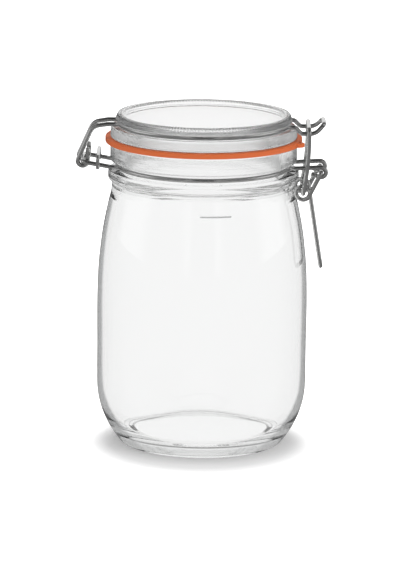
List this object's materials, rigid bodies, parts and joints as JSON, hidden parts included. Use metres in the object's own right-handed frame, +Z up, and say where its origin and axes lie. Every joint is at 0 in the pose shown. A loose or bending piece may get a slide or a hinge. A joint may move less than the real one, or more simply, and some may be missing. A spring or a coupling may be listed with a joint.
{
  "type": "clip-top canning jar",
  "caption": "Clear glass canning jar with a hinged glass lid, rubber sealing ring and wire lever clasp that pulls the lid down.",
  "frame": {"origin": "centre of the base, on the plane of the bearing ring that the jar stands on", "axes": "+Z up along the jar's axis, +X towards the clasp, -X towards the hinge, hinge axis along Y"},
  "size_m": [0.1299, 0.109, 0.1722],
  "materials": {
    "body_glass": "clear pressed glass, fire-polished",
    "lid_glass": "clear pressed glass with a milled rim",
    "gasket_rubber": "smooth natural rubber, orange, satin",
    "lid_wire_steel": "drawn steel wire, bright",
    "neck_wire_steel": "drawn steel wire, bright",
    "neck_clip_steel": "drawn steel wire, bright",
    "lever_steel": "drawn steel wire, bright",
    "bail_steel": "drawn steel wire, bright"
  },
  "bodies": {
    "jar": {"jar_body": "body_glass", "neck_wire": "neck_wire_steel", "neck_clip": "neck_clip_steel"},
    "lid": {"lid": "lid_glass", "lid_wire": "lid_wire_steel", "gasket": "gasket_rubber"},
    "lever": {"lever": "lever_steel"},
    "bail": {"bail": "bail_steel"}
  },
  "joints": [
    {"name": "lid_hinge", "type": "hinge", "parent": "jar", "child": "lid", "pos_m": [-0.0621, 0, 0.1483], "axis": [0, -1, 0], "range_deg": [0, 235]},
    {"name": "lever_pivot", "type": "hinge", "parent": "jar", "child": "lever", "pos_m": [0.0604, 0, 0.1437], "axis": [0, -1, 0], "range_deg": [0, 110], "deforming": ["bail"]},
    {"name": "bail_pivot", "type": "hinge", "parent": "lever", "child": "bail", "pos_m": [0.0513, 0, 0.1331], "axis": [0, -1, 0], "range_deg": [-150, 0]}
  ],
  "couplings": [
    {"joint": "bail_pivot", "follows": "lever_pivot", "ratio": -1.35}
  ]
}
